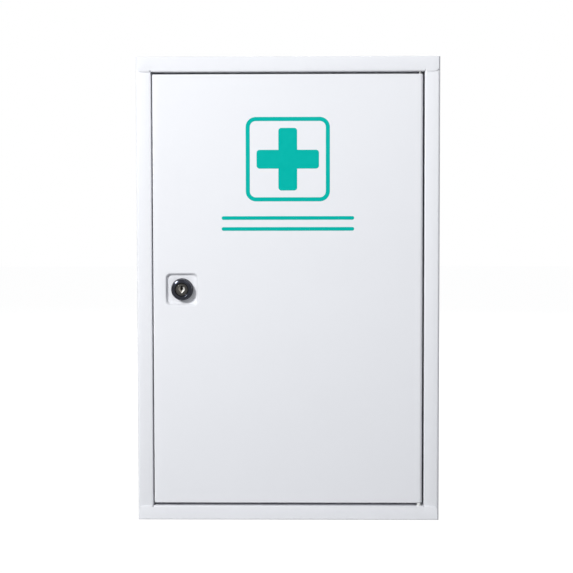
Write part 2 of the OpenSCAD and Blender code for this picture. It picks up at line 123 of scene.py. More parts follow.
def pick(kind, *tests):
    """Selects the open piece's points, edges or faces that pass any of the tests."""
    bpy.ops.mesh.select_mode(type=kind)
    bpy.ops.mesh.select_all(action="DESELECT")
    data = bpy.context.edit_object.data
    mesh = bmesh.from_edit_mesh(data)
    parts = {"VERT": mesh.verts, "EDGE": mesh.edges, "FACE": mesh.faces}[kind]
    for part in parts:
        if any(test(part) for test in tests):
            part.select_set(True)
    bmesh.update_edit_mesh(data)


def rim(test):
    """A test for free edges, those with one face, that also pass another test."""
    return lambda edge: len(edge.link_faces) == 1 and test(edge)


def sharp(edge, angle=40):
    """True of an edge between two faces at a marked angle."""
    return len(edge.link_faces) == 2 and edge.calc_face_angle(0) > math.radians(angle)


def open_piece(piece):
    bpy.ops.object.select_all(action="DESELECT")
    piece.select_set(True)
    bpy.context.view_layer.objects.active = piece
    bpy.ops.object.mode_set(mode="EDIT")
    bpy.ops.mesh.select_all(action="DESELECT")


def close_piece():
    bpy.ops.object.mode_set(mode="OBJECT")


def settle(piece):
    """Leaves a new primitive's place, turn and size in its mesh, at the origin."""
    bpy.ops.object.transform_apply(location=True, rotation=True, scale=True)
    return piece


def flat(width, height, middle, turn=(0, 0, 0)):
    """A flat rectangle, facing up until it is turned."""
    bpy.ops.object.select_all(action="DESELECT")
    bpy.ops.mesh.primitive_plane_add(size=1, location=middle, rotation=turn)
    piece = bpy.context.object
    piece.scale = (width, height, 1)
    return settle(piece)


def block(low, high):
    bpy.ops.object.select_all(action="DESELECT")
    low, high = Vector(low), Vector(high)
    bpy.ops.mesh.primitive_cube_add(size=1, location=(low + high) / 2)
    piece = bpy.context.object
    piece.scale = high - low
    return settle(piece)


def disc(radius, middle, turn=FACING_DOOR, points=64, fill="NGON"):
    bpy.ops.object.select_all(action="DESELECT")
    bpy.ops.mesh.primitive_circle_add(
        vertices=points, radius=radius, fill_type=fill, location=middle, rotation=turn
    )
    return settle(bpy.context.object)


def draw_out(x=0, y=0, z=0):
    bpy.ops.mesh.extrude_region_move(TRANSFORM_OT_translate={"value": (x, y, z)})


def grow(x, y, z, middle):
    bpy.ops.transform.resize(value=(x, y, z), center_override=middle)


def cut(point, normal, **keep):
    bpy.ops.mesh.select_all(action="SELECT")
    bpy.ops.mesh.bisect(plane_co=point, plane_no=normal, **keep)


def round_off(radius, steps, kind="EDGES"):
    bpy.ops.mesh.bevel(
        offset_type="OFFSET", offset=radius, segments=steps, affect=kind, clamp_overlap=False
    )


def face_outwards():
    """Turns all faces of the open piece outwards, where it is closed all round."""
    bpy.ops.mesh.select_all(action="SELECT")
    bpy.ops.mesh.normals_make_consistent(inside=False)


def turn_out(probe, direction):
    """Turns the open sheet's faces so that the one nearest to a point faces a way."""
    face_outwards()
    mesh = bmesh.from_edit_mesh(bpy.context.edit_object.data)
    probe = Vector(probe)
    nearest = min(mesh.faces, key=lambda f: (f.calc_center_median() - probe).length)
    if nearest.normal.dot(Vector(direction)) < 0:
        bpy.ops.mesh.flip_normals()


def apply_modifiers(piece):
    bpy.ops.object.select_all(action="DESELECT")
    piece.select_set(True)
    bpy.context.view_layer.objects.active = piece
    for modifier in list(piece.modifiers):
        bpy.ops.object.modifier_apply(modifier=modifier.name)


def thicken(piece, *drills):
    """Gives a folded sheet its thickness behind its face, and drills it."""
    sheet = piece.modifiers.new("sheet", "SOLIDIFY")
    sheet.thickness = SHEET
    sheet.offset = -1
    sheet.use_even_offset = True
    sheet.use_quality_normals = True
    apply_modifiers(piece)
    open_piece(piece)
    bpy.ops.mesh.select_all(action="SELECT")
    bpy.ops.mesh.remove_doubles(threshold=10 * MERGE)
    close_piece()
    carve(piece, *drills)


def deburr(piece):
    """Rounds the cut edges of a sheet by the thickness of its paint."""
    soften(piece, DEBURR, angle=70)


def soften(piece, width, angle=50):
    """Rounds a piece's edges that are sharper than an angle."""
    edge = piece.modifiers.new("edge", "BEVEL")
    edge.width = width
    edge.segments = 2
    edge.limit_method = "ANGLE"
    edge.angle_limit = math.radians(angle)
    apply_modifiers(piece)


def carve(piece, *tools):
    """Cuts the tools out of a piece and throws them away."""
    for tool in tools:
        hole = piece.modifiers.new("hole", "BOOLEAN")
        hole.operation = "DIFFERENCE"
        hole.solver = "EXACT"
        hole.object = tool
        apply_modifiers(piece)
        bpy.data.objects.remove(tool)


def drill(radius, start, y=0, z=0, points=32):
    """A drill that goes a way through a sheet, along y or z."""
    tool = disc(radius, start, FACING_DOOR if y else (0, 0, 0), points)
    open_piece(tool)
    bpy.ops.mesh.select_all(action="SELECT")
    draw_out(y=y, z=z)
    face_outwards()
    close_piece()
    return tool


def pin_drill(low, high):
    """The drill for a pivot pin's hole, through the sheet between two heights."""
    return drill(PIN_R + 0.05 * MM, (PIVOT_X, PIVOT_Y, low), z=high - low)


def join(*pieces):
    bpy.ops.object.select_all(action="DESELECT")
    for piece in pieces:
        piece.select_set(True)
    bpy.context.view_layer.objects.active = pieces[0]
    bpy.ops.object.join()
    return pieces[0]


def shade(piece, angle=32):
    bpy.ops.object.select_all(action="DESELECT")
    piece.select_set(True)
    bpy.context.view_layer.objects.active = piece
    bpy.ops.object.shade_smooth_by_angle(angle=math.radians(angle))


def hand_over(piece, name, body, nodes, slot, *finishes):
    """Names a finished piece, paints it, and puts it on its body in place of CAD nodes."""
    piece.name = name
    piece.data.name = name
    shade(piece)
    for finish in finishes:
        piece.data.materials.append(finish)
    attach(piece, body)
    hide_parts(*nodes)


def turn_upside_down(piece):
    """Turns a piece for the top into one for the bottom."""
    open_piece(piece)
    bpy.ops.mesh.select_all(action="SELECT")
    bpy.ops.transform.resize(value=(1, 1, -1), center_override=(0, 0, TOP / 2))
    bpy.ops.mesh.normals_make_consistent(inside=False)
    close_piece()


# Shader maths

class Value:
    """A socket, so that shader maths reads as plain arithmetic."""

    def __init__(self, graph, socket):
        self.graph = graph
        self.socket = socket

    def _maths(self, kind, first, second):
        return self.graph.node("ShaderNodeMath", {"operation": kind}, {0: first, 1: second})

    def __add__(self, other):
        return self._maths("ADD", self, other)

    def __sub__(self, other):
        return self._maths("SUBTRACT", self, other)

    def __rsub__(self, other):
        return self._maths("SUBTRACT", other, self)

    def __mul__(self, other):
        return self._maths("MULTIPLY", self, other)

    __radd__ = __add__
    __rmul__ = __mul__


class Graph:
    """The nodes of a material or of the world."""

    def __init__(self, tree):
        self.tree = tree

    def node(self, kind, settings, sockets, output=0):
        """Adds a node: its settings first, then the values or links of its sockets."""
        made = self.tree.nodes.new(kind)
        for key, setting in settings.items():
            setattr(made, key, setting)
        for socket, value in sockets.items():
            self.feed(made.inputs[socket], value)
        return Value(self, made.outputs[output])

    def feed(self, socket, value):
        if isinstance(value, Value):
            self.tree.links.new(value.socket, socket)
        else:
            socket.default_value = value

    def mix(self, share, first, second):
        """Mixes two colours."""
        first, second = (
            (*colour, 1) if isinstance(colour, tuple) else colour for colour in (first, second)
        )
        return self.node(
            "ShaderNodeMix", {"data_type": "RGBA"}, {0: share, 6: first, 7: second}, output=2
        )

    def looked_at(self):
        """1 where the camera sees it, also mirrored or through glass, and 0 for other light."""
        seen = 0
        for ray in ("Is Camera Ray", "Is Glossy Ray", "Is Transmission Ray"):
            this_ray = self.node("ShaderNodeLightPath", {}, {}, output=ray)
            seen = self.node(
                "ShaderNodeMath", {"operation": "MAXIMUM"}, {0: seen, 1: this_ray}
            )
        return seen


class Finish(Graph):
    """A material in the making: a Principled shader and the nodes that feed it."""

    def __init__(self, name, colour, roughness, metallic=0.0, **fixed):
        self.material = bpy.data.materials.new(name)
        self.material.use_nodes = True
        super().__init__(self.material.node_tree)
        self.shader = self.tree.nodes["Principled BSDF"]
        self.place = self.node("ShaderNodeTexCoord", {}, {}, output="Object")
        self.set("Base Color", (*colour, 1))
        self.set("Roughness", roughness)
        self.set("Metallic", metallic)
        for socket, value in fixed.items():
            self.set(socket.replace("_", " "), value)

    def set(self, socket, value):
        self.feed(self.shader.inputs[socket], value)

    def noise(self, size, detail=2.0, roughness=0.5, stretch=(1, 1, 1)):
        """Noise from 0 to 1 whose blots are about a size across, in metres."""
        place = self.node("ShaderNodeMapping", {}, {"Vector": self.place, "Scale": stretch})
        return self.node("ShaderNodeTexNoise", {}, {
            "Vector": place, "Scale": 1 / size, "Detail": detail, "Roughness": roughness,
        })

    def bump(self, height, depth):
        """A bump as deep as depth, in metres, where height goes from 0 to 1."""
        self.set("Normal", self.node(
            "ShaderNodeBump", {}, {"Strength": 1.0, "Distance": depth, "Height": height}
        ))


def powder_coat(name, colour, roughness=0.4):
    """White powder coat on sheet steel: a fine orange peel, slightly uneven in gloss."""
    paint = Finish(name, colour, roughness, Specular_IOR_Level=0.2)
    peel = paint.noise(1.5 * MM, detail=1.0)
    grain = paint.noise(0.35 * MM, detail=1.0)
    cloud = paint.noise(70 * MM, detail=3.0)
    tint = tuple(c * 0.985 for c in colour)
    paint.set("Base Color", paint.mix(cloud, tint, colour))
    paint.set("Roughness", roughness - 0.05 + cloud * 0.06 + peel * 0.04)
    paint.bump(peel * 0.8 + grain * 0.2, 0.012 * MM)
    return paint.material


def zinc_plate(name, shade=1.0):
    """Zinc on steel: faint spangle, a breath of yellow and rolling lines."""
    zinc = Finish(name, (0.6, 0.61, 0.62), 0.33, 1.0)
    cells = zinc.node(
        "ShaderNodeTexVoronoi", {}, {"Vector": zinc.place, "Scale": 1 / (2.2 * MM)},
        output="Color",
    )
    spangle = zinc.node("ShaderNodeSeparateColor", {}, {0: cells})
    cloud = zinc.noise(9 * MM, detail=3.0)
    lines = zinc.noise(0.5 * MM, detail=2.0, stretch=(1, 1, 0.06))
    # A shade below 1 darkens all the zinc's colours, which makes a darker copy that is painted
    # shade.
    cool, warm, dark = (
        tuple(c * shade for c in grey)
        for grey in ((0.54, 0.55, 0.57), (0.66, 0.65, 0.62), (0.5, 0.51, 0.53))
    )
    zinc.set("Base Color", zinc.mix(spangle * 0.16, zinc.mix(cloud, cool, warm), dark))
    zinc.set("Roughness", 0.26 + lines * 0.14 + cloud * 0.06)
    zinc.bump(lines, 0.006 * MM)
    return zinc.material


def turned_metal(name, colour, roughness, ring_depth, **fixed):
    """Plated metal turned on a lathe: fine rings about the lock's axis."""
    metal = Finish(name, colour, roughness, 1.0, **fixed)
    centred = metal.node(
        "ShaderNodeMapping", {}, {"Vector": metal.place, "Location": (-LOCK_X, 0, -LOCK_Z)}
    )
    rings = metal.node(
        "ShaderNodeTexWave",
        {"wave_type": "RINGS", "rings_direction": "Y", "wave_profile": "SIN"},
        {"Vector": centred, "Scale": 180.0, "Distortion": 0.6, "Detail": 2.0},
        output="Fac",
    )
    smear = metal.noise(2.5 * MM, detail=3.0)
    dark = tuple(c * 0.8 for c in colour)
    metal.set("Base Color", metal.mix(smear, dark, colour))
    metal.set("Roughness", roughness - 0.04 + smear * 0.06 + rings * 0.04)
    metal.bump(rings * 0.7 + smear * 0.3, ring_depth)
    return metal.material


def wafer_brass(name):
    brass = Finish(name, (0.55, 0.4, 0.16), 0.4, 1.0)
    smear = brass.noise(1.2 * MM, detail=3.0)
    brass.set("Base Color", brass.mix(smear, (0.42, 0.3, 0.13), (0.62, 0.46, 0.2)))
    brass.set("Roughness", 0.32 + smear * 0.2)
    brass.bump(smear, 0.01 * MM)
    return brass.material


def moulded(name, colour, roughness, texture_size):
    """Moulded nylon or rubber with a fine spark-eroded texture."""
    plastic = Finish(name, colour, roughness)
    pores = plastic.noise(texture_size, detail=2.0)
    cloud = plastic.noise(4 * MM, detail=2.0)
    dull = tuple(c * 0.9 for c in colour)
    plastic.set("Base Color", plastic.mix(cloud, dull, colour))
    plastic.set("Roughness", roughness - 0.05 + pores * 0.1)
    plastic.bump(pores, 0.02 * MM)
    return plastic.material


def screen_print(name, colour):
    """Teal ink from a screen: even, with a trace of the mesh and of thin spots."""
    ink = Finish(name, colour, 0.42, Specular_IOR_Level=0.03)
    thin = ink.noise(6 * MM, detail=4.0, roughness=0.6)
    mesh = ink.noise(0.4 * MM, detail=1.0)
    light = tuple(min(c * 1.08 + 0.004, 1) for c in colour)
    ink.set("Base Color", ink.mix(thin, colour, light))
    ink.set("Roughness", 0.38 + mesh * 0.08)
    ink.bump(mesh * 0.6 + thin * 0.4, 0.01 * MM)
    return ink.material


WHITE = (0.842, 0.85, 0.881)
carcass_paint = powder_coat("carcass_powder_coat", WHITE)
door_paint = powder_coat("door_powder_coat", WHITE)
shelf_paint = powder_coat("shelf_powder_coat", (0.82, 0.83, 0.86), 0.45)
zinc = zinc_plate("zinc_plate")
# The hinge pins' zinc: the same zinc, darker all over, as painted shade.
shaded_zinc = zinc_plate("shaded_zinc_plate", 0.45)
DARK_EDGE = (0.32, 0.32, 0.34, 1)
black_nickel = turned_metal(
    "black_nickel", (0.036, 0.038, 0.048), 0.15, 0.003 * MM, Specular_Tint=(0.75, 0.75, 0.78, 1)
)
plug_nickel = turned_metal(
    "plug_nickel", (0.079, 0.076, 0.072), 0.22, 0.008 * MM, Specular_Tint=DARK_EDGE
)
# The key funnel's nickel: its own bright colour, raised so that the slopes that face the key
# light read bright, which is in part painted light.
bright_and_lit_nickel = turned_metal("bright_and_lit_nickel", (0.72, 0.71, 0.69), 0.24, 0.003 * MM)
# The same nickel much darker: painted shade on the funnel's slope that faces away from the key
# light.
shaded_nickel = turned_metal("shaded_nickel", (0.27, 0.25, 0.22), 0.3, 0.003 * MM)
slot_black = turned_metal("slot_shadow_black", (0.012, 0.012, 0.013), 0.5, 0.004 * MM)
brass = wafer_brass("wafer_brass")
nylon = moulded("spacer_nylon", (0.78, 0.79, 0.78), 0.45, 0.3 * MM)
rubber = moulded("buffer_rubber", (0.7, 0.71, 0.72), 0.65, 0.25 * MM)
ink = screen_print("teal_ink", (0.0, 0.445, 0.385))


# Carcass

def cap_sheet(rail):
    """The top sheet: rail, return and stop lip at the front, and flanges to weld."""
    mouth = TOP - rail
    lip_left = -127.6 * MM
    rail_x = OPEN_X - 0.2 * MM
    relief = 1.4 * MM
    notch_back = FRONT + FOLD + 0.4 * MM
    return_back = FRONT + FRAME_D - SHEET
    sheet = flat(2 * HALF_W, WALL - FRONT, (0, 0, TOP))
    open_piece(sheet)
    pick("EDGE", at(y=FRONT))
    draw_out(z=-rail)
    pick("EDGE", at(y=WALL))
    draw_out(z=-BACK_FLANGE)
    for side in (-1, 1):
        cut((side * RAIL_END, 0, 0), (side, 0, 0))
    cut((0, notch_back, 0), (0, 1, 0))
    for end in ((-HALF_W, -RAIL_END), (RAIL_END, HALF_W)):
        pick("FACE", at(x=end, y=(FRONT, notch_back)))
        bpy.ops.mesh.delete(type="FACE")
    pick("VERT", at(x=-RAIL_END, y=FRONT, z=mouth), at(x=RAIL_END, y=FRONT, z=mouth))
    round_off(RAIL_END_R, 7, "VERTICES")
    for x in (-rail_x - relief, -rail_x, lip_left, rail_x, rail_x + relief):
        cut((x, 0, 0), (1, 0, 0))
    cut((0, 0, mouth + relief), (0, 0, 1))
    for side in ((-rail_x - relief, -rail_x), (rail_x, rail_x + relief)):
        pick("FACE", at(x=side, y=FRONT, z=(mouth, mouth + relief)))
        bpy.ops.mesh.delete(type="FACE")
    pick("EDGE", rim(at(x=(-rail_x, rail_x), y=FRONT, z=mouth)))
    draw_out(y=return_back - FRONT)
    pick("EDGE", rim(at(x=(lip_left, rail_x), y=return_back, z=mouth)))
    draw_out(z=SHEET - STOP_LIP)
    pick(
        "EDGE", at(y=FRONT, z=TOP), at(y=WALL, z=TOP),
        at(x=(-rail_x, rail_x), y=FRONT, z=mouth),
    )
    round_off(FOLD, 5)
    pick("EDGE", at(x=(lip_left, rail_x), y=return_back, z=mouth))
    round_off(INNER_FOLD, 3)
    turn_out((0, 0, TOP), (0, 0, 1))
    close_piece()
    return join(sheet, side_flange(-1), side_flange(1))


def side_flange(side):
    """Strip that hangs from the top sheet and is welded inside a side sheet."""
    length, high, low = 96 * MM, TOP - 0.4 * MM, TOP - 12 * MM
    middle = (side * 149 * MM, 0, (low + high) / 2)
    strip = flat(high - low, length, middle, (0, side * math.pi / 2, 0))
    open_piece(strip)
    pick("VERT", at(z=low))
    round_off(3 * MM, 4, "VERTICES")
    close_piece()
    return strip


def dress_rail_ends(cap):
    """Rounds the front of the rail's ends, where they lap over the stiles."""
    lap = OPEN_X + 1.6 * MM
    open_piece(cap)
    for x in ((-RAIL_END, -lap), (lap, RAIL_END)):
        pick("EDGE", lambda edge: at(x=x, y=FRONT)(edge) and sharp(edge, 70))
        round_off(0.6 * MM, 4)
    close_piece()


def make_caps():
    top, bottom = cap_sheet(RAIL), cap_sheet(LOW_RAIL)
    for cap, rail in ((top, RAIL), (bottom, LOW_RAIL)):
        thicken(cap, pin_drill(TOP - rail - 2 * MM, TOP - rail + 2 * MM))
        dress_rail_ends(cap)
        deburr(cap)
    turn_upside_down(bottom)
    hand_over(top, "top_cap", "carcass", ["top_panel"], "carcass_paint", carcass_paint)
    hand_over(bottom, "bottom_cap", "carcass", ["bottom_panel"], "carcass_paint", carcass_paint)


def side_sheet(side):
    """A side sheet with its stile, the stile's return and, at the lock, a stop lip."""
    low, high = FOLD, TOP - FOLD
    stile_y = FRONT + SHEET
    back_y = WALL - SHEET
    return_y = FRONT + FRAME_D - SHEET
    edge_x, open_x = side * HALF_W, side * OPEN_X
    sheet = flat(
        high - low, back_y - stile_y, (edge_x, (stile_y + back_y) / 2, TOP / 2),
        (0, side * math.pi / 2, 0),
    )
    open_piece(sheet)
    pick("EDGE", at(y=stile_y))
    draw_out(x=open_x - edge_x)
    draw_out(y=return_y - stile_y)
    if side < 0:
        draw_out(x=STOP_LIP - SHEET)
    else:
        draw_out(y=SHEET)
    pick("EDGE", at(x=edge_x, y=back_y))
    draw_out(x=-side * BACK_FLANGE)
    pick("EDGE", at(x=edge_x, y=stile_y))
    round_off(OUTER_FOLD, 6)
    pick("EDGE", at(x=edge_x, y=back_y), at(x=open_x, y=stile_y))
    round_off(FOLD, 5)
    if side < 0:
        pick("EDGE", at(x=open_x, y=return_y))
        round_off(INNER_FOLD, 3)
    turn_out((edge_x, 0, TOP / 2), (side, 0, 0))
    close_piece()
    thicken(sheet)
    deburr(sheet)
    return sheet


def make_sides():
    for name, side in (("left", -1), ("right", 1)):
        hand_over(
            side_sheet(side), f"{name}_side", "carcass", [f"side_panel_{name}"],
            "carcass_paint", carcass_paint,
        )


def make_back():
    """The back sheet, with its four fixing holes."""
    width, height = 2 * HALF_W - 2.8 * MM, TOP - 2 * MM
    outer_y = WALL - 2 * SHEET
    through = 2 * MM
    sheet = flat(width, height, (0, outer_y, TOP / 2), (-math.pi / 2, 0, 0))
    open_piece(sheet)
    turn_out((0, outer_y, TOP / 2), (0, 1, 0))
    close_piece()
    thicken(sheet, *[
        drill(FIXING_R, (x, outer_y - through, z), y=2 * through)
        for x in (-FIXING_X, FIXING_X) for z in FIXING_Z
    ])
    deburr(sheet)
    hand_over(sheet, "back_sheet", "carcass", ["back_panel"], "carcass_paint", carcass_paint)
    shade(sheet, 20)


def shelf_tray(height):
    """A shelf: folded up and hemmed at the front, folded up at the back."""
    depth = SHELF_BACK - SHELF_FRONT
    middle = (0, (SHELF_FRONT + SHELF_BACK) / 2, height)
    tray = flat(2 * SHELF_X, depth, middle)
    open_piece(tray)
    pick("EDGE", at(y=SHELF_FRONT))
    draw_out(z=TRAY_LIP)
    draw_out(y=TRAY_HEM)
    pick("EDGE", at(y=SHELF_BACK, z=height))
    draw_out(z=TRAY_BACK)
    pick(
        "EDGE", at(y=SHELF_FRONT, z=height), at(y=SHELF_BACK, z=height),
        at(y=SHELF_FRONT, z=height + TRAY_LIP),
    )
    round_off(FOLD, 5)
    turn_out(middle, (0, 0, -1))
    close_piece()
    thicken(tray)
    deburr(tray)
    return tray


def make_shelves():
    for name, height in (("lower", LOWER_SHELF), ("upper", UPPER_SHELF)):
        hand_over(
            shelf_tray(height), f"{name}_tray", "carcass", [f"shelf_{name}"],
            "shelf_paint", shelf_paint,
        )


def make_buffers():
    """Domed rubber buffers on the stop lip, one high and one low."""
    x, back_y = -131.4 * MM, FRONT + FRAME_D - SHEET
    pad_r = 3.2 * MM
    dome = ((1.2 * MM, pad_r), (0.5 * MM, 2.9 * MM), (0.2 * MM, 2.2 * MM))
    pads = []
    for z in (64 * MM, 395 * MM):
        pad = disc(pad_r, (x, back_y, z), points=40)
        open_piece(pad)
        bpy.ops.mesh.select_all(action="SELECT")
        radius = pad_r
        for reach, next_radius in dome:
            draw_out(y=-reach)
            grow(next_radius / radius, 1, next_radius / radius, (x, 0, z))
            radius = next_radius
        face_outwards()
        close_piece()
        pads.append(pad)
    pair = join(*pads)
    soften(pair, 0.15 * MM)
    hand_over(pair, "rubber_buffers", "carcass", ["door_buffers"], "buffer_rubber", rubber)


# Door

def folded_pan():
    """The door's pan: a front and four walls, with the large fold on the hinge side."""
    height = DOOR_HIGH - DOOR_LOW
    middle_z = (DOOR_HIGH + DOOR_LOW) / 2
    width = DOOR_RIGHT - DOOR_LEFT
    middle_x = (DOOR_RIGHT + DOOR_LEFT) / 2
    back_y = FRONT + DOOR_D
    pan = flat(width, height, (middle_x, FRONT, middle_z), FACING_DOOR)
    open_piece(pan)
    pick("EDGE", at(x=DOOR_LEFT), at(x=DOOR_RIGHT))
    draw_out(y=DOOR_D)
    pick("EDGE", at(x=DOOR_LEFT, y=FRONT))
    round_off(FOLD, 5)
    pick("EDGE", at(x=DOOR_RIGHT, y=FRONT))
    round_off(DOOR_HINGE_FOLD, 9)
    for z in (DOOR_LOW, DOOR_HIGH):
        pick("VERT", at(z=z))
        bpy.ops.mesh.edge_face_add()
    pick(
        "EDGE", lambda edge: at(z=DOOR_LOW)(edge) and not at(y=back_y)(edge),
        lambda edge: at(z=DOOR_HIGH)(edge) and not at(y=back_y)(edge),
    )
    round_off(DOOR_END_FOLD, 4)
    pick("EDGE", at(y=back_y))
    draw_out()
    left_over = 2 * DOOR_LIP
    grow(1 - left_over / width, 1, 1 - left_over / height, (middle_x, back_y, middle_z))
    pick("EDGE", lambda edge: at(y=back_y)(edge) and sharp(edge))
    round_off(DOOR_BACK_FOLD, 3)
    cut_window(20 * MM)
    close_piece()
    return pan


def cut_window(half):
    """Cuts a square out of the door's front, in which the lock's recess is then set."""
    least_front = 100 * MM * MM
    for axis, middle in (((1, 0, 0), LOCK_X), ((0, 0, 1), LOCK_Z)):
        for edge in (middle - half, middle + half):
            pick("FACE", lambda face: at(y=FRONT)(face) and face.calc_area() > least_front)
            bpy.ops.mesh.bisect(plane_co=[edge * a for a in axis], plane_no=axis)
    pick("FACE", at(
        x=(LOCK_X - half, LOCK_X + half), y=FRONT, z=(LOCK_Z - half, LOCK_Z + half)
    ))
    bpy.ops.mesh.delete(type="FACE")


def pressed_recess():
    """The recess round the lock: a flat margin, a sloping wall and a floor."""
    centre = Vector((LOCK_X, FRONT, LOCK_Z))
    margin = 2 * MM
    recess = flat(RECESS_W + 2 * margin, RECESS_W + 2 * margin, centre, FACING_DOOR)
    open_piece(recess)
    bpy.ops.mesh.select_all(action="SELECT")
    round_off(RECESS_R + margin, 7, "VERTICES")
    bpy.ops.mesh.select_all(action="SELECT")
    bpy.ops.mesh.inset(thickness=margin)
    draw_out(y=RECESS_D)
    grow(RECESS_FLOOR / RECESS_W, 1, RECESS_FLOOR / RECESS_W, centre)
    pick("EDGE", lambda edge: sharp(edge, 20) and crease_of_recess(edge))
    round_off(0.8 * MM, 4)
    close_piece()
    return recess


def crease_of_recess(edge):
    """True of the two creases where the recess's wall leaves the face and meets the floor."""
    return at(y=FRONT)(edge) or at(y=FRONT + RECESS_D)(edge)


def door_skin():
    skin = join(folded_pan(), pressed_recess())
    open_piece(skin)
    pick("EDGE", rim(at(y=FRONT)))
    bpy.ops.mesh.bridge_edge_loops()
    bpy.ops.mesh.select_all(action="SELECT")
    bpy.ops.mesh.remove_doubles(threshold=MERGE)
    turn_out((0, FRONT, 0.1), (0, -1, 0))
    close_piece()
    thicken(
        skin,
        drill(BARREL_HOLE_R, (LOCK_X, FRONT + MM, LOCK_Z), y=6 * MM, points=64),
        pin_drill(DOOR_LOW - MM, DOOR_LOW + 2 * MM),
        pin_drill(DOOR_HIGH - 2 * MM, DOOR_HIGH + MM),
    )
    deburr(skin)
    hand_over(skin, "door_skin", "door", ["door_panel"], "door_paint", door_paint)


# Lock

def turned(rings, points=64):
    """A piece turned about the lock's axis, from (radius, depth behind the front) in mm.

    Rings that end where they began make a tube, and others a piece with two flat ends."""
    def place(depth):
        return (LOCK_X, FRONT + depth * MM, LOCK_Z)

    first_radius, first_depth = rings[0]
    fill = "NOTHING" if rings[0] == rings[-1] else "NGON"
    piece = disc(first_radius * MM, place(first_depth), points=points, fill=fill)
    open_piece(piece)
    bpy.ops.mesh.select_all(action="SELECT")
    for (radius, depth), (next_radius, next_depth) in zip(rings, rings[1:]):
        draw_out(y=(next_depth - depth) * MM)
        if next_radius != radius:
            grow(next_radius / radius, 1, next_radius / radius, place(next_depth))
    bpy.ops.mesh.select_all(action="SELECT")
    bpy.ops.mesh.remove_doubles(threshold=MERGE)
    face_outwards()
    close_piece()
    return piece


def threaded_barrel():
    """The barrel: a thread of one millimetre pitch, cut away by two flats."""
    bore, root, crest, seat, end = 6.05, 9.0, 9.5, 3.5, 19.0
    flat_x = 8 * MM
    rings = [(bore, end), (bore, seat), (9.1, seat)]
    for turn in range(15):
        start = 3.9 + turn
        top, top_end, foot = start + 0.4, start + 0.55, start + 0.9
        rings += [(root, start), (crest, top), (crest, top_end), (root, foot)]
    rings += [(8.7, end), (bore, end)]
    barrel = turned(rings, 48)
    open_piece(barrel)
    for side in (-1, 1):
        cut((LOCK_X + side * flat_x, 0, 0), (side, 0, 0), use_fill=True, clear_outer=True)
    face_outwards()
    close_piece()
    return barrel


def make_lock_head():
    """Head with a flat cone and a rolled rim, and its barrel."""
    bore, seat = 6.06, 3.45
    crown = [(7.0, -4.93), (7.3, -5.0), (7.6, -5.0)]
    roll_r, roll_depth = 9.08, -3.38
    roll = [
        (roll_r + math.sin(math.radians(a)), roll_depth - math.cos(math.radians(a)))
        for a in range(20, 81, 6)
    ]
    foot = [(10.5, 0.9), (10.75, 1.5), (10.95, 1.9), (11.0, 2.3), (11.0, 3.3), (10.85, seat)]
    head = turned([
        (bore, seat), (bore, -2.3), (6.66, -2.3), (6.66, -4.4), (6.72, -4.68),
        *crown, *roll, *foot, (bore, seat),
    ])
    housing = join(head, threaded_barrel())
    hand_over(housing, "lock_head", "door", ["lock_housing"], "lock_black", black_nickel)


def make_plug():
    """The turning plug: its face ring, its body and the square tail for the cam."""
    end = 19.2
    body = turned([
        (4.82, -3.2), (4.82, -3.7), (4.9, -3.8), (5.3, -3.8), (5.4, -3.65), (5.55, -3.65),
        (5.65, -3.8), (5.95, -3.8), (6.12, -3.68), (6.5, -3.05), (6.6, -2.8), (6.6, -2.35),
        (6.0, -2.35), (6.0, end),
    ])
    half_tail = 3.75 * MM
    tail = block(
        (LOCK_X - half_tail, FRONT + end * MM, LOCK_Z - half_tail),
        (LOCK_X + half_tail, FRONT + 21 * MM, LOCK_Z + half_tail),
    )
    soften(tail, 0.25 * MM)
    half_slot_w, half_slot_h = 0.9 * MM, 4.2 * MM
    carve(body, block(
        (LOCK_X - half_slot_w, FRONT - 5 * MM, LOCK_Z - half_slot_h),
        (LOCK_X + half_slot_w, FRONT + 13.2 * MM, LOCK_Z + half_slot_h),
    ))
    plug = join(body, tail)
    hand_over(plug, "lock_core", "lock_cylinder", ["lock_plug"], "lock_black", plug_nickel)


def key_cutter(face_y):
    """Pointed oval that narrows to the key slot, with the slot going on behind it."""
    radius, up, clear = 3.1 * MM, 0.7 * MM, 0.5 * MM
    point_from, point_to = 1.0 * MM, 2.36 * MM
    cutter = disc(radius, (LOCK_X, face_y - clear, LOCK_Z + up), points=40)
    open_piece(cutter)
    pick("VERT", at(z=(LOCK_Z - point_to, LOCK_Z - point_from)))
    bpy.ops.mesh.dissolve_verts()
    pick("VERT", at(z=(LOCK_Z - radius, LOCK_Z - point_to - 0.02 * MM)))
    bpy.ops.transform.translate(value=(0, 0, -1.3 * MM))
    bpy.ops.mesh.select_all(action="SELECT")
    draw_out(y=clear)
    grow(0.96, 1, 0.96, (LOCK_X, 0, LOCK_Z))
    draw_out(y=FUNNEL_D)
    grow(0.27, 1, 0.68, (LOCK_X, 0, LOCK_Z + 2.4 * MM))
    draw_out(y=9 * MM)
    face_outwards()
    close_piece()
    return cutter


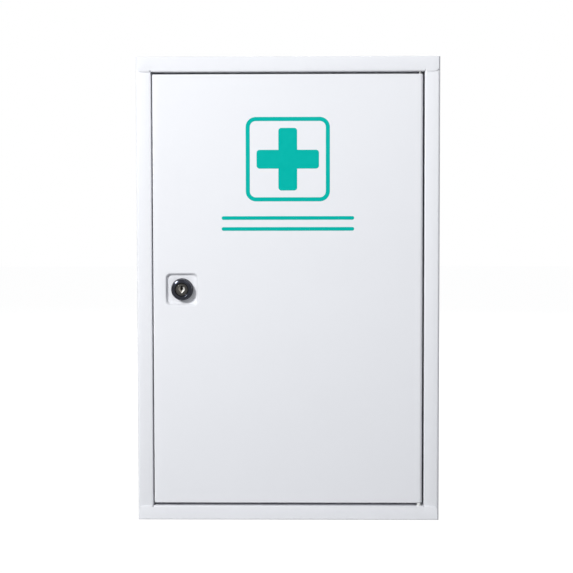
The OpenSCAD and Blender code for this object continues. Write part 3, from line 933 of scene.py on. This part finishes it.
def make_key_funnel():
    """Disc in the plug's face, dished in a pointed oval down to the key slot."""
    radius, face_depth = 4.78, -3.72
    face_y = FRONT + face_depth * MM
    funnel = turned([(radius, face_depth), (radius, 4.0)])
    carve(funnel, key_cutter(face_y))
    soften(funnel, 0.08 * MM, angle=25)
    hand_over(
        funnel, "key_funnel", "lock_cylinder", ["lock_shutter"], "lock_bright",
        bright_and_lit_nickel, slot_black, plug_nickel, shaded_nickel,
    )
    # Faces deep in the key slot get the black, painted as the slot's shadow. The funnel's top
    # wall, which faces down, gets the dark plug finish as painted shade, and its left slope,
    # which faces right and away from the key light, gets the darker nickel as painted shade.
    # The flat face and the side outside the rim keep the plug's own finish, and the right and
    # lower slopes keep the bright nickel, in part painted light.
    in_slot, face_or_shaded_top, shaded_left_slope = 1, 2, 3
    rim_r = 4.7 * MM
    for face in funnel.data.polygons:
        arm = math.hypot(face.center.x - LOCK_X, face.center.z - LOCK_Z)
        if face.center.y > face_y + FUNNEL_D + 0.02 * MM and arm < rim_r:
            face.material_index = in_slot
        elif face.normal.y < -0.97 or arm > rim_r or face.normal.z < -0.25:
            face.material_index = face_or_shaded_top
        elif face.normal.x > 0.2:
            face.material_index = shaded_left_slope


def softened(node, name, body, slot, finish, width):
    """Stands a copy of a CAD node in for it, with flat faces made whole and edges rounded."""
    piece = bpy.data.objects.new(name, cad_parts[node].data.copy())
    bpy.context.collection.objects.link(piece)
    piece.data.materials.clear()
    open_piece(piece)
    bpy.ops.mesh.select_all(action="SELECT")
    bpy.ops.mesh.remove_doubles(threshold=MERGE)
    bpy.ops.mesh.dissolve_limited(angle_limit=math.radians(0.5))
    close_piece()
    soften(piece, width, angle=40)
    hand_over(piece, name, body, [node], slot, finish)


def make_fastenings():
    """The nut, washers, cam and screw behind the lock, and the sheet angles and plates."""
    softened("lock_nut", "lock_hex_nut", "door", "zinc_steel", zinc, 0.3 * MM)
    softened("lock_washer", "lock_seat_washer", "door", "zinc_steel", zinc, 0.12 * MM)
    softened("lock_cam", "cam_tongue", "lock_cylinder", "zinc_steel", zinc, 0.3 * MM)
    softened("cam_washer", "cam_seat_washer", "lock_cylinder", "zinc_steel", zinc, 0.12 * MM)
    softened("cam_screw", "cam_pan_screw", "lock_cylinder", "zinc_steel", zinc, 0.35 * MM)
    for end in ("lower", "upper"):
        softened(
            f"hinge_plate_{end}", f"pivot_plate_{end}", "door", "zinc_steel", zinc, 0.25 * MM
        )
        for side in ("left", "right"):
            softened(
                f"shelf_runner_{end}_{side}", f"shelf_angle_{end}_{side}", "carcass",
                "shelf_paint", shelf_paint, DEBURR,
            )


def paint_nodes():
    """Finishes for the CAD nodes that are shown as they are."""
    finishes = {
        "hinge_pin_lower": shaded_zinc, "hinge_pin_upper": shaded_zinc,
        "hinge_spacer": nylon, "print_frame": ink, "print_cross": ink,
        "print_stripes": ink, "lock_wafers": brass,
    }
    for node, finish in finishes.items():
        for material_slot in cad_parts[node].material_slots:
            material_slot.material = finish


# Studio

def backdrop_floor():
    """A pale floor that shows white and keeps a soft shadow."""
    floor = flat(12, 12, (0, 0, 0))
    floor.name = "studio_floor"
    paper = Finish("floor_paper", (0.4, 0.4, 0.4), 0.9)
    plain = Value(paper, paper.shader.outputs[0])
    glow = paper.node("ShaderNodeEmission", {}, {"Color": (1, 1, 1, 1), "Strength": 1.2})
    surface = paper.node(
        "ShaderNodeMixShader", {}, {0: paper.looked_at() * 0.8, 1: plain, 2: glow}
    )
    paper.feed(paper.tree.nodes["Material Output"].inputs["Surface"], surface)
    floor.data.materials.append(paper.material)


def soft_box(name, place, aim, size, power):
    """A round soft light of a size across, turned to the place it lights."""
    light = bpy.data.lights.new(name, "AREA")
    light.shape = "DISK"
    light.size = size
    light.energy = power
    lamp = bpy.data.objects.new(name, light)
    lamp.location = place
    lamp.rotation_euler = (Vector(aim) - Vector(place)).to_track_quat("-Z", "Y").to_euler()
    bpy.context.collection.objects.link(lamp)


def surroundings(level):
    """White where the camera or a reflection looks, and a low cool light elsewhere."""
    world = bpy.data.worlds.new("studio")
    world.use_nodes = True
    bpy.context.scene.world = world
    air = Graph(world.node_tree)
    back = air.tree.nodes["Background"]
    seen = air.looked_at()
    air.feed(back.inputs["Color"], air.mix(seen, (0.86, 0.95, 1.08), (1, 1, 1)))
    air.feed(back.inputs["Strength"], seen * (1 - level) + level)


def make_camera():
    """The camera, fitted to the corners of the cabinet's front in the photograph."""
    lens = bpy.data.cameras.new("camera")
    lens.lens = 95.3
    lens.sensor_width = 36
    lens.clip_start, lens.clip_end = 0.05, 50
    camera = bpy.data.objects.new("camera", lens)
    camera.location = (0.0241, FRONT - 1.5, 0.316)
    down, roll, left = 3.152, 0.09, 0.971
    camera.rotation_euler = [math.radians(a) for a in (90 - down, roll, left)]
    bpy.context.collection.objects.link(camera)
    bpy.context.scene.camera = camera


make_caps()
make_sides()
make_back()
make_shelves()
make_buffers()
door_skin()
make_lock_head()
make_plug()
make_key_funnel()
make_fastenings()
paint_nodes()

backdrop_floor()
soft_box("key_light", (-1.25, FRONT - 2, 1.38), (0, FRONT, 0.23), 0.36, 58.5)
soft_box("fill_light", (0.5, FRONT - 1.3, 1.3), (0, FRONT, 0.23), 1.0, 3.0)
soft_box("back_light", (0.3, 2.2, 1.4), (0, WALL, 0.23), 1.2, 40)
surroundings(0.14)
make_camera()
bpy.context.scene.view_settings.view_transform = "Standard"
